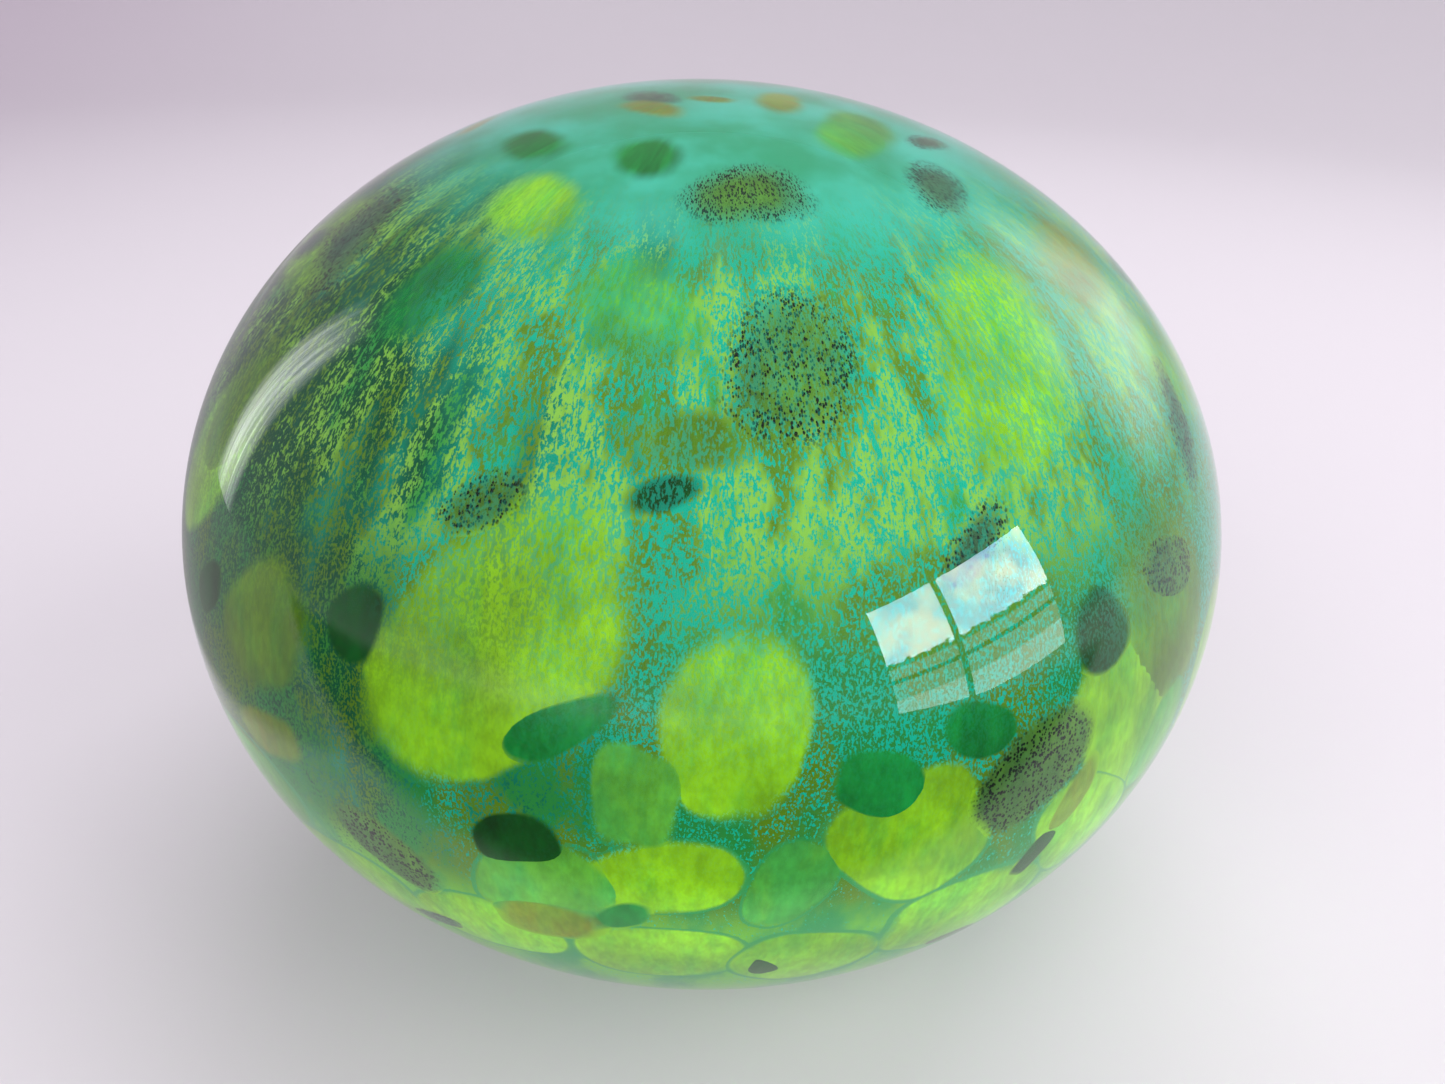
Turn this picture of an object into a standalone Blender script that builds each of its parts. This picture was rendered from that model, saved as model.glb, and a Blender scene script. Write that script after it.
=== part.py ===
"""Blown-glass cloche: a squat, thick-walled glass dome with coloured chips laid between two gathers.

Run with: blender --background --python part.py

The frame is metres with +Z up. The origin is the centre of the ground ring that the cloche stands on.
From the outside inwards the wall holds a clear casing, a layer of small chips, a layer of large petals, the
turquoise ground that shows between them, and the inner gather, which thickens and closes the wall at the mouth.
"""

import math
from collections import namedtuple

import bmesh
import bpy
from mathutils import Matrix, Vector

# Driving dimensions of the dome: an ellipsoid of revolution, cut off flat at z = 0.
OUTER_RADIUS = 0.130
HALF_HEIGHT = 0.109
CENTRE_HEIGHT = 0.096
MOUTH_RADIUS = 0.050
MOUTH_CHAMFER = 0.001

# The wall's layers, from the outside in. Each depth is measured inwards from the outer surface.
LAYER_GAP = 0.0003
CASING_THICKNESS = 0.0024
CHIP_THICKNESS = 0.0008
PETAL_THICKNESS = 0.0008
GROUND_THICKNESS = 0.0006
GATHER_THICKNESS = 0.0022
FACET_CLEARANCE = 0.0012  # room that the casing's flat facets need above the chips
CURVE_CLEARANCE = 0.0004  # room between the two chip layers, and between the petals and the ground

CHIP_DEPTH = CASING_THICKNESS + FACET_CLEARANCE
PETAL_DEPTH = CHIP_DEPTH + CHIP_THICKNESS + CURVE_CLEARANCE
GROUND_DEPTH = PETAL_DEPTH + PETAL_THICKNESS + CURVE_CLEARANCE
GATHER_DEPTH = GROUND_DEPTH + GROUND_THICKNESS + LAYER_GAP
INNER_DEPTH = GATHER_DEPTH + GATHER_THICKNESS
LIP_DEPTH = CASING_THICKNESS + LAYER_GAP  # where the gather meets the casing at the mouth

# Angles along the wall, in degrees above the dome's widest level.
POLE_ANGLE = 90
ROW_STEP = 9
GROUND_EDGE_ANGLE = -45
GATHER_FLARE_START = -45
GATHER_FLARE_END = -60

TURN_STEPS = 36
CHIP_SEGMENTS = 12
CHIP_RINGS = 4
PETAL_SEGMENTS = 14
PETAL_RINGS = 6

# A chip's place on the dome (longitude from the front, -Y, towards +X; angle above the widest level), its
# length and width in millimetres, how far its length is turned up from level, and its outline: squareness is
# 2 for an oval and more for a square, and taper widens one end.
Chip = namedtuple("Chip", "colour longitude latitude length width turn squareness taper")

# Large petals, the deeper layer.
PETALS = (
    Chip("lime", -17, 17, 70, 40, 48, 2.3, 0.15),
    Chip("lime", 4, 12, 36, 28, 84, 2.2, 0.0),
    Chip("lime", -2, -6, 27, 16, 16, 2.4, 0.2),
    Chip("green", 9, -7, 22, 13, 66, 2.2, 0.1),
    Chip("lime", 20, -3, 27, 24, -60, 3.2, -0.2),
    Chip("lime", 37, 43, 50, 32, 63, 2.2, 0.0),
    Chip("olive", -42, 10, 32, 22, 50, 2.4, 0.0),
    Chip("lime", 44, 2, 40, 22, -66, 2.4, -0.2),
    Chip("lime", -2, -19, 26, 20, 0, 2.4, 0.0),
    Chip("lime", -17, -22, 26, 18, 16, 2.2, 0.0),
    Chip("lime", 27, -18, 32, 24, -10, 2.6, 0.2),
    Chip("lime", 11, -22, 24, 22, -30, 2.4, 0.0),
    Chip("green", -9, 50, 28, 24, -50, 2.4, 0.0),
    Chip("green", 60, 74, 30, 18, 24, 2.2, 0.0),
    Chip("lime", 70, -14, 40, 28, 10, 2.4, 0.1),
    Chip("lime", 112, -16, 44, 28, -12, 2.3, 0.0),
    Chip("green", 158, -15, 42, 28, 15, 2.5, -0.1),
    Chip("lime", 204, -17, 44, 27, -8, 2.3, 0.1),
    Chip("lime", 250, -15, 42, 28, 12, 2.4, 0.0),
    Chip("lime", 297, -16, 38, 25, -10, 2.6, 0.1),
    Chip("green", 90, 19, 50, 36, 62, 2.3, 0.1),
    Chip("lime", 137, 16, 50, 35, -56, 2.2, 0.0),
    Chip("lime", 182, 19, 52, 36, 52, 2.5, -0.1),
    Chip("olive", 228, 17, 48, 36, -62, 2.3, 0.0),
    Chip("green", 274, 20, 46, 34, 56, 2.2, 0.1),
    Chip("lime", 116, 52, 42, 32, 20, 2.4, 0.0),
    Chip("green", 180, 54, 40, 32, -24, 2.3, 0.0),
    Chip("lime", 242, 52, 42, 30, 14, 2.4, 0.0),
)

# Small chips, the layer nearer the surface.
CHIPS = (
    Chip("emerald", -10, 11, 25, 9, 34, 2.2, -0.4),
    Chip("bottle", -14, -3, 19, 12, 16, 2.8, 0.2),
    Chip("green", -4, 4, 21, 16, 84, 4.0, 0.1),
    Chip("emerald", 16, 5, 19, 15, -28, 2.2, 0.0),
    Chip("pepper", 31, 2, 32, 22, 40, 2.3, 0.1),
    Chip("bottle", 39, 15, 20, 16, -64, 2.2, 0.1),
    Chip("pepper", 51, 17, 24, 15, -24, 2.3, 0.0),
    Chip("smoke", 64, 29, 34, 14, 66, 2.2, 0.0),
    Chip("amber", 66, 49, 44, 26, 24, 2.2, 0.0),
    Chip("smoke", 53, 63, 24, 15, 30, 2.2, 0.1),
    Chip("pepper", 10, 45, 33, 27, 70, 2.6, 0.0),
    Chip("pepper", 7, 65, 27, 20, 20, 2.8, 0.2),
    Chip("emerald", -18, 70, 20, 16, -60, 2.2, 0.0),
    Chip("emerald", -52, 68, 25, 15, -6, 2.3, 0.0),
    Chip("amber", -40, 80, 20, 11, 0, 2.2, 0.0),
    Chip("smoke", -63, 48, 40, 24, -40, 2.2, -0.2),
    Chip("emerald", -38, 48, 32, 21, 78, 2.3, 0.1),
    Chip("bottle", -30, 16, 17, 13, 60, 2.3, -0.2),
    Chip("amber", -42, -3, 26, 13, 18, 2.3, 0.1),
    Chip("pepper", -28, -11, 28, 15, -30, 2.3, 0.0),
    Chip("amber", -12, -15, 24, 13, 6, 2.5, 0.0),
    Chip("emerald", 98, -2, 26, 16, -30, 2.3, -0.2),
    Chip("amber", 122, 33, 34, 20, 60, 2.2, 0.0),
    Chip("pepper", 158, 35, 30, 24, 30, 2.5, 0.1),
    Chip("bottle", 176, -2, 22, 14, 10, 2.7, 0.1),
    Chip("amber", 212, 0, 30, 18, 30, 2.3, 0.0),
    Chip("emerald", 205, 41, 28, 18, -40, 2.3, -0.2),
    Chip("pepper", 252, 36, 32, 22, -60, 2.3, 0.0),
    Chip("smoke", 150, 70, 26, 16, 0, 2.2, 0.0),
)

# Base colour, roughness and transmission of each glass.
GLASSES = {
    "clear": ((0.90, 0.97, 0.93), 0.02, 1.0),
    "turquoise": ((0.05, 0.48, 0.38), 0.12, 0.2),
    "pale_green": ((0.45, 0.66, 0.38), 0.15, 0.3),
    "lime": ((0.30, 0.56, 0.05), 0.12, 0.4),
    "green": ((0.12, 0.45, 0.10), 0.12, 0.4),
    "olive": ((0.24, 0.32, 0.03), 0.12, 0.4),
    "emerald": ((0.01, 0.25, 0.09), 0.12, 0.4),
    "bottle": ((0.004, 0.09, 0.02), 0.10, 0.3),
    "amber": ((0.28, 0.22, 0.03), 0.12, 0.4),
    "pepper": ((0.08, 0.14, 0.06), 0.20, 0.2),
    "smoke": ((0.10, 0.13, 0.12), 0.15, 0.3),
}


def clear_objects():
    for obj in list(bpy.data.objects):
        bpy.data.objects.remove(obj, do_unlink=True)


def make_collection(name):
    collection = bpy.data.collections.new(name)
    bpy.context.scene.collection.children.link(collection)
    return collection


def glass_material(colour):
    """A glass of one colour from GLASSES."""
    base, roughness, transmission = GLASSES[colour]
    material = bpy.data.materials.new(f"{colour}_glass")
    material.use_nodes = True
    shader = material.node_tree.nodes["Principled BSDF"]
    shader.inputs["Base Color"].default_value = (*base, 1.0)
    shader.inputs["Metallic"].default_value = 0.0
    shader.inputs["Roughness"].default_value = roughness
    shader.inputs["IOR"].default_value = 1.5
    shader.inputs["Transmission Weight"].default_value = transmission
    return material


def wall_point(angle, depth):
    """Radius and height of the wall's surface at a depth, at an angle above the widest level."""
    turn = math.radians(angle)
    radius = (OUTER_RADIUS - depth) * math.cos(turn)
    height = CENTRE_HEIGHT + (HALF_HEIGHT - depth) * math.sin(turn)
    return radius, height


def base_angle(depth):
    """The angle at which the surface at a depth meets the ground plane, z = 0."""
    return -math.degrees(math.asin(CENTRE_HEIGHT / (HALF_HEIGHT - depth)))


def rows_down_to(lowest):
    """Angles from the pole down to the lowest, one every ROW_STEP. All shells share them, so facets line up."""
    rows = list(range(POLE_ANGLE, math.ceil(lowest), -ROW_STEP))
    if rows[-1] - lowest < ROW_STEP / 4:
        rows.pop()
    return rows + [lowest]


def surface(depth, lowest):
    """Profile points of the wall's surface at one depth, from the pole down."""
    points = [wall_point(angle, depth) for angle in rows_down_to(lowest)]
    return [(0.0, points[0][1])] + points[1:]


def turned_shell(name, profile, material, collection, parent):
    """A closed shell of revolution. The profile runs from the pole down its outer side and back up the inner."""
    mesh = bpy.data.meshes.new(name)
    corners = [(radius, 0.0, height) for radius, height in profile]
    edges = [(i, i + 1) for i in range(len(corners) - 1)]
    mesh.from_pydata(corners, edges, [])
    mesh.materials.append(material)
    shell = bpy.data.objects.new(name, mesh)
    collection.objects.link(shell)
    shell.parent = parent
    screw = shell.modifiers.new("turned", "SCREW")
    screw.axis = "Z"
    screw.angle = math.tau
    screw.steps = TURN_STEPS
    screw.render_steps = TURN_STEPS
    screw.use_merge_vertices = True
    screw.merge_threshold = 0.00001
    screw.use_smooth_shade = True
    return shell


def casing_profile():
    """The clear outer casing: both surfaces run down to the ground ring."""
    outer = surface(0.0, base_angle(0.0))
    inner = surface(CASING_THICKNESS, base_angle(CASING_THICKNESS))
    return outer + inner[::-1]


def ground_profile():
    """The turquoise ground, from the pole to below the lowest petals."""
    outer = surface(GROUND_DEPTH, GROUND_EDGE_ANGLE)
    inner = surface(GROUND_DEPTH + GROUND_THICKNESS, GROUND_EDGE_ANGLE)
    return outer + inner[::-1]


def flared_depth(angle):
    """Depth of the gather's outer surface: it rises to meet the casing near the mouth."""
    along = (GATHER_FLARE_START - angle) / (GATHER_FLARE_START - GATHER_FLARE_END)
    along = min(max(along, 0.0), 1.0)
    eased = along * along * (3.0 - 2.0 * along)
    return GATHER_DEPTH + (LIP_DEPTH - GATHER_DEPTH) * eased


def gather_profile():
    """The inner gather, with the ground ring and the mouth's upright edge."""
    lowest = base_angle(LIP_DEPTH)
    outer = [wall_point(angle, flared_depth(angle)) for angle in rows_down_to(lowest)]
    outer[0] = (0.0, outer[0][1])
    mouth = [(MOUTH_RADIUS + MOUTH_CHAMFER, 0.0), (MOUTH_RADIUS, MOUTH_CHAMFER)]
    mouth_angle = -math.degrees(math.acos(MOUTH_RADIUS / (OUTER_RADIUS - INNER_DEPTH)))
    inner = surface(INNER_DEPTH, mouth_angle)
    return outer + mouth + inner[::-1]


def place_on_dome(chip, depth):
    """Where a chip lies: its length, width and outward directions, and its centre."""
    longitude = math.radians(chip.longitude)
    latitude = math.radians(chip.latitude)
    outwards = Vector((math.sin(longitude), -math.cos(longitude), 0.0))
    radius = OUTER_RADIUS - depth
    height = HALF_HEIGHT - depth
    centre = outwards * radius * math.cos(latitude)
    centre.z = height * math.sin(latitude)
    normal = Vector((centre.x / radius**2, centre.y / radius**2, centre.z / height**2)).normalized()
    east = Vector((math.cos(longitude), math.sin(longitude), 0.0))
    north = normal.cross(east)
    turn = math.radians(chip.turn)
    along = east * math.cos(turn) + north * math.sin(turn)
    across = north * math.cos(turn) - east * math.sin(turn)
    return Matrix((along, across, normal)).transposed(), centre


def outline_reach(along, across, squareness):
    """How far a superellipse reaches in a direction, as a share of a circle's reach."""
    flat = math.hypot(along, across)
    if flat < 1e-9:
        return 1.0
    power = abs(along / flat) ** squareness + abs(across / flat) ** squareness
    return power ** (-1.0 / squareness)


def pressed_chip(name, chip, depth, thickness, segments, rings, material, collection, parent):
    """A round-edged chip, pressed to the dome's curve at one depth below the outer surface."""
    directions, centre = place_on_dome(chip, depth + thickness / 2)
    shape = bmesh.new()
    bmesh.ops.create_uvsphere(shape, u_segments=segments, v_segments=rings, radius=1.0)
    for vert in shape.verts:
        along, across, up = vert.co
        reach = outline_reach(along, across, chip.squareness)
        along *= reach * chip.length / 2000
        across *= reach * chip.width / 2000 * (1.0 + chip.taper * vert.co.x)
        spot = centre + directions @ Vector((along, across, 0.0))
        layer = depth + thickness * (1.0 - up) / 2
        radius = OUTER_RADIUS - layer
        height = HALF_HEIGHT - layer
        spot /= math.hypot(math.hypot(spot.x, spot.y) / radius, spot.z / height)
        vert.co = directions.transposed() @ (spot - centre)
    mesh = bpy.data.meshes.new(name)
    shape.to_mesh(mesh)
    shape.free()
    mesh.shade_smooth()
    mesh.materials.append(material)
    piece = bpy.data.objects.new(name, mesh)
    collection.objects.link(piece)
    piece.parent = parent
    piece.location = centre + Vector((0.0, 0.0, CENTRE_HEIGHT))
    piece.rotation_euler = directions.to_euler()
    return piece


def lay_chips(chips, kind, depth, thickness, segments, rings, materials, collection, parent):
    """One layer of chips, named by colour and number."""
    counts = {}
    for chip in chips:
        counts[chip.colour] = counts.get(chip.colour, 0) + 1
        name = f"{chip.colour}_{kind}_{counts[chip.colour]:02d}"
        material = materials[chip.colour]
        pressed_chip(name, chip, depth, thickness, segments, rings, material, collection, parent)


def build():
    clear_objects()
    collection = make_collection("glass_cloche")
    root = bpy.data.objects.new("cloche_origin", None)
    collection.objects.link(root)
    materials = {colour: glass_material(colour) for colour in GLASSES}
    turned_shell("outer_casing", casing_profile(), materials["clear"], collection, root)
    turned_shell("turquoise_ground", ground_profile(), materials["turquoise"], collection, root)
    turned_shell("inner_gather", gather_profile(), materials["pale_green"], collection, root)
    lay_chips(
        PETALS, "petal", PETAL_DEPTH, PETAL_THICKNESS, PETAL_SEGMENTS, PETAL_RINGS, materials, collection, root
    )
    lay_chips(
        CHIPS, "chip", CHIP_DEPTH, CHIP_THICKNESS, CHIP_SEGMENTS, CHIP_RINGS, materials, collection, root
    )


build()
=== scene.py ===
"""Looks of the blown-glass cloche: a clear casing over coloured chips, petals and a crackled ground.

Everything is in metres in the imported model's frame: +Z up, the origin at the centre of the ground ring,
and -Y towards the viewer. Inside the dome's materials, distances are in millimetres and angles in degrees.
"""

import math
from collections import namedtuple

import bmesh
import bpy
import numpy as np
from mathutils import Matrix, Vector


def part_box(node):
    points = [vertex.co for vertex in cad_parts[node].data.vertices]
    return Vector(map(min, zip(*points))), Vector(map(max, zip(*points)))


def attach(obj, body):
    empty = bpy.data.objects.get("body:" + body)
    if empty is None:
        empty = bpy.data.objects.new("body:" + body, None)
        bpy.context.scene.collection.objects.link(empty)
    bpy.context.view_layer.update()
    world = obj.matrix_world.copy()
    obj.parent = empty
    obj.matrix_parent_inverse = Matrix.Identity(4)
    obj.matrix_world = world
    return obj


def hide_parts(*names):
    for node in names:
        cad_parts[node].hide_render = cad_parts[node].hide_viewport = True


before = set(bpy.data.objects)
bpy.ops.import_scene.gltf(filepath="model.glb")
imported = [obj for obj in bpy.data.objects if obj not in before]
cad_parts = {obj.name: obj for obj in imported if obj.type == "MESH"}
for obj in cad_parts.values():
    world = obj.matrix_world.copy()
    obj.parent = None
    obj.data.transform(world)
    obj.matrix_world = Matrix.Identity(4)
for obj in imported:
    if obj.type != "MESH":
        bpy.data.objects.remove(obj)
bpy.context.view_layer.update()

BODY = "root"

# The dome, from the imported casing, and its wall's layers as depths below the outer surface. Chips and
# petals are fused nearly flush with the ground, each a hair prouder than the one it lies on.
CASING_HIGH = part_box("outer_casing")[1]
OUTER_RADIUS = CASING_HIGH.x
TOP = CASING_HIGH.z
HALF_HEIGHT = 0.109
CENTRE_HEIGHT = TOP - HALF_HEIGHT
DOME_CENTRE = Vector((0.0, 0.0, CENTRE_HEIGHT))
MOUTH_RADIUS = 0.050
FIRST_CHIP_DEPTH = 0.0058
PROUDER = 0.0001
RIM_DEPTH = 0.0061
CHIP_BACK_DEPTH = 0.0063
GROUND_DEPTH = 0.0060
GROUND_THICKNESS = 0.0006
GATHER_DEPTH = 0.0069
GATHER_THICKNESS = 0.0022

# Between these angles the layers rise towards the lip and draw together, to a share of their spacing. The
# mouth's edge is rounded.
LIP_DEPTH = 0.0027
LIP_SPREAD = 0.3
FLARE_START, FLARE_END = -45.0, -60.0
MOUTH_EDGE = 0.001

# A blown surface strays this far from the true shape, except near the ground ring.
WOBBLE = 0.0004
TRUE_BELOW = 0.004

# Fineness of the meshes.
CASING_STEPS, CASING_ROWS = 288, 120
SHELL_STEPS, SHELL_ROWS = 160, 70
GORES = 8
PETAL_SEGMENTS, PETAL_RINGS = 48, 18
CHIP_SEGMENTS, CHIP_RINGS = 40, 16
SMOOTH_UP_TO = math.radians(40)

# Chips are laid a little larger than listed; petals and slivers as listed.
PETAL_GROWTH, CHIP_GROWTH = 1.0, 1.05

# A chip counts as lying on another if it comes this close to it, in radii of the lower one. Spots that lie
# further inwards than this from a chip's plane, in metres, are across the dome from it, and far outside it.
MEETS_WITHIN = 1.02
SAME_SIDE_ABOVE = -0.03
FAR_OUTSIDE = 9.0

# Each chip in turn has its own number, this far from the last, which shapes its outline and tints its glass.
SEED_STEP = 1.7
TINT_STEP = 0.618

# Longitude from the front towards +X and angle above the widest level in degrees, length and width in
# millimetres, turn of the length up from level, squareness of the outline (2 is an oval) and taper.
Chip = namedtuple("Chip", "colour longitude latitude length width turn squareness taper")

PETALS = (
    Chip("lime", -17, 17, 74, 42, 48, 2.3, 0.15),
    Chip("lime", 4, 12, 38, 30, 84, 2.2, 0.0),
    Chip("lime", -2, -6, 33, 20, 16, 2.4, 0.2),
    Chip("green", 9, -7, 27, 16, 66, 2.2, 0.1),
    Chip("lime", 20, -3, 34, 31, -60, 3.2, -0.2),
    Chip("lime", 37, 43, 58, 38, 63, 2.2, 0.0),
    Chip("olive", -42, 10, 38, 27, 50, 2.4, 0.0),
    Chip("lime", 44, 2, 52, 30, -66, 2.4, -0.2),
    Chip("lime", -2, -20, 34, 26, 0, 2.4, 0.0),
    Chip("lime", -19, -20, 36, 24, 16, 2.2, 0.0),
    Chip("lime", 28, -19, 42, 31, -10, 2.6, 0.2),
    Chip("lime", 12, -22, 31, 27, -30, 2.4, 0.0),
    Chip("green", -9, 50, 32, 28, -50, 2.4, 0.0),
    Chip("green", 60, 74, 34, 20, 24, 2.2, 0.0),
    Chip("lime", 70, -14, 52, 35, 10, 2.4, 0.1),
    Chip("lime", 112, -16, 56, 36, -12, 2.3, 0.0),
    Chip("green", 158, -15, 54, 36, 15, 2.5, -0.1),
    Chip("lime", 204, -17, 56, 35, -8, 2.3, 0.1),
    Chip("lime", 250, -15, 54, 36, 12, 2.4, 0.0),
    Chip("lime", 297, -16, 52, 33, -10, 2.6, 0.1),
    Chip("green", 90, 19, 60, 43, 62, 2.3, 0.1),
    Chip("lime", 137, 16, 60, 42, -56, 2.2, 0.0),
    Chip("lime", 182, 19, 62, 43, 52, 2.5, -0.1),
    Chip("olive", 228, 17, 58, 43, -62, 2.3, 0.0),
    Chip("green", 274, 20, 56, 41, 56, 2.2, 0.1),
    Chip("lime", 116, 52, 50, 38, 20, 2.4, 0.0),
    Chip("green", 180, 54, 48, 38, -24, 2.3, 0.0),
    Chip("lime", 242, 52, 50, 36, 14, 2.4, 0.0),
)

CHIPS = (
    Chip("emerald", -10, 11, 25, 9, 34, 2.2, -0.4),
    Chip("bottle", -14, -3, 19, 12, 16, 2.8, 0.2),
    Chip("green", -4, 4, 21, 16, 84, 4.0, 0.1),
    Chip("emerald", 16, 5, 19, 15, -28, 2.2, 0.0),
    Chip("pepper", 31, 2, 32, 22, 40, 2.3, 0.1),
    Chip("bottle", 39, 15, 20, 16, -64, 2.2, 0.1),
    Chip("pepper", 51, 17, 24, 15, -24, 2.3, 0.0),
    Chip("smoke", 64, 29, 34, 14, 66, 2.2, 0.0),
    Chip("amber", 66, 49, 44, 26, 24, 2.2, 0.0),
    Chip("smoke", 53, 63, 24, 15, 30, 2.2, 0.1),
    Chip("pepper", 10, 45, 33, 27, 70, 2.6, 0.0),
    Chip("pepper", 7, 65, 27, 20, 20, 2.8, 0.2),
    Chip("emerald", -18, 70, 20, 16, -60, 2.2, 0.0),
    Chip("emerald", -52, 68, 25, 15, -6, 2.3, 0.0),
    Chip("amber", -40, 80, 20, 11, 0, 2.2, 0.0),
    Chip("smoke", -63, 48, 40, 24, -40, 2.2, -0.2),
    Chip("emerald", -38, 48, 32, 21, 78, 2.3, 0.1),
    Chip("bottle", -30, 16, 17, 13, 60, 2.3, -0.2),
    Chip("amber", -42, -3, 26, 13, 18, 2.3, 0.1),
    Chip("pepper", -28, -11, 28, 15, -30, 2.3, 0.0),
    Chip("amber", -12, -15, 24, 13, 6, 2.5, 0.0),
    Chip("emerald", 98, -2, 26, 16, -30, 2.3, -0.2),
    Chip("amber", 122, 33, 34, 20, 60, 2.2, 0.0),
    Chip("pepper", 158, 35, 30, 24, 30, 2.5, 0.1),
    Chip("bottle", 176, -2, 22, 14, 10, 2.7, 0.1),
    Chip("amber", 212, 0, 30, 18, 30, 2.3, 0.0),
    Chip("emerald", 205, 41, 28, 18, -40, 2.3, -0.2),
    Chip("pepper", 252, 36, 32, 22, -60, 2.3, 0.0),
    Chip("smoke", 150, 70, 26, 16, 0, 2.2, 0.0),
)

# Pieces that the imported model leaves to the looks: larger ones that fill the spaces between petals and lie
# across them, then small chips and slivers.
SLIVERS = (
    Chip("olive", 50, 14, 54, 36, -64, 2.2, 0.0),
    Chip("lime", 64, -3, 46, 30, 70, 2.3, 0.0),
    Chip("lime", 40, -10, 38, 26, -50, 2.3, 0.1),
    Chip("green", -50, -14, 46, 28, 10, 2.2, 0.0),
    Chip("lime", -36, -23, 44, 28, 12, 2.3, 0.0),
    Chip("green", -12, -9, 32, 22, 20, 2.4, 0.0),
    Chip("lime", 72, 33, 46, 32, -30, 2.2, 0.0),
    Chip("olive", 108, 3, 42, 30, 40, 2.3, 0.1),
    Chip("lime", 160, 4, 46, 32, -20, 2.2, 0.0),
    Chip("green", 198, -1, 38, 27, 15, 2.4, 0.0),
    Chip("lime", 226, -4, 44, 30, -35, 2.3, 0.1),
    Chip("lime", 252, 13, 46, 34, 30, 2.2, 0.0),
    Chip("olive", 288, 1, 46, 32, -20, 2.3, 0.0),
    Chip("lime", 300, 22, 48, 33, 50, 2.2, 0.0),
    Chip("lime", 290, 46, 46, 34, 10, 2.2, 0.0),
    Chip("olive", 150, 38, 44, 33, -20, 2.2, 0.0),
    Chip("lime", 208, 38, 48, 34, 25, 2.3, 0.0),
    Chip("lime", -33, 60, 27, 24, -33, 2.2, 0.0),
    Chip("olive", -1, 38, 28, 15, 3, 2.2, 0.0),
    Chip("green", 51, -4, 28, 19, 70, 2.3, 0.0),
    Chip("olive", -58, 28, 42, 25, 60, 2.2, 0.0),
    Chip("green", 49, 73, 24, 18, 24, 2.2, 0.0),
    Chip("emerald", 25, 9, 18, 12, -17, 2.2, 0.0),
    Chip("smoke", -59, 82, 21, 12, 0, 2.2, 0.0),
    Chip("amber", 59, 83, 24, 14, 23, 2.2, 0.0),
    Chip("amber", -8, 85, 13, 7, 0, 2.2, 0.0),
    Chip("smoke", 77, 68, 20, 8, -20, 2.2, 0.0),
    Chip("bottle", -53, 9, 18, 10, 44, 2.2, 0.0),
    Chip("emerald", -5, -12, 13, 8, 30, 2.2, 0.0),
    Chip("bottle", 34, -11, 15, 7, 60, 4.0, 0.0),
    Chip("amber", 37, -4, 21, 9, 67, 2.2, 0.0),
    Chip("bottle", 8, -23, 12, 7, -74, 2.0, 0.5),
    Chip("bottle", -3, 33, 16, 8, 20, 2.2, 0.0),
    Chip("pepper", -20, 30, 20, 11, 40, 2.2, 0.0),
    Chip("smoke", 26, 27, 24, 9, 40, 2.2, 0.0),
    Chip("bottle", 30, -27, 14, 7, -10, 2.2, 0.2),
    Chip("smoke", -26, -24, 16, 7, 20, 2.2, 0.0),
    Chip("emerald", 84, 42, 16, 11, 30, 2.2, 0.0),
    Chip("bottle", 139, -4, 15, 9, -20, 2.4, 0.0),
    Chip("amber", 170, 66, 15, 10, 10, 2.2, 0.0),
    Chip("emerald", 234, -2, 14, 9, 50, 2.2, 0.2),
    Chip("bottle", 262, 8, 16, 11, 70, 2.4, 0.0),
    Chip("smoke", 285, 44, 22, 12, 30, 2.2, 0.0),
    Chip("amber", 268, 64, 18, 11, -20, 2.2, 0.0),
)

# Screen colours of each glass: its body, and its thicker or thinner parts.
GLASS_COLOURS = {
    "lime": ((122, 172, 20), (94, 160, 40)),
    "green": ((62, 146, 62), (84, 150, 46)),
    "olive": ((88, 122, 8), (74, 128, 30)),
    "emerald": ((4, 100, 36), (14, 124, 50)),
    "bottle": ((0, 50, 4), (0, 70, 14)),
    "amber": ((112, 116, 4), (100, 128, 22)),
    "pepper": ((72, 112, 32), (60, 102, 42)),
    "smoke": ((50, 86, 58), (70, 106, 70)),
}

# Where along its radius each glass starts to bleed low on the dome, how much sooner it does higher up,
# between which angles that changes, and where the bleeding ends. VEILS is how much of the crackle shows
# over each.
SHARPNESS = {
    "lime": 0.88, "green": 0.86, "olive": 0.80, "emerald": 0.82,
    "bottle": 0.84, "amber": 0.72, "pepper": 0.74, "smoke": 0.62,
}
SOFTENING = 0.34
CRISP_BELOW, SOFT_ABOVE = 2.0, 40.0
BLED_AT = 0.97
VEILS = {
    "lime": 0.55, "green": 0.45, "olive": 0.5, "emerald": 0.5,
    "bottle": 0.45, "amber": 0.35, "pepper": 0.3, "smoke": 0.4,
}

CROWN_TURQUOISE = (66, 172, 152)
CROWN_SHADE = (44, 142, 104)
FLAKE = (3, 156, 132)
DARK_FLAKE = (3, 74, 46)
SEAM = (38, 132, 76)
SEAM_LIME = (98, 164, 46)
BED_CREAM = (124, 174, 66)
BED_OLIVE = (84, 118, 18)
BED_GREEN = (54, 140, 62)
LOW_OLIVE = (78, 112, 14)
LOW_GREEN = (30, 116, 50)
PEPPER_BLACK = (6, 14, 8)
MILKY_GREEN = (176, 214, 170)
MILKY_SHADE = (140, 200, 150)


def linear(screen):
    """A screen colour, 0 to 255, as a linear one for a shader."""
    shares = [value / 255 for value in screen]
    return (*[s / 12.92 if s <= 0.04045 else ((s + 0.055) / 1.055) ** 2.4 for s in shares], 1.0)


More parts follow.
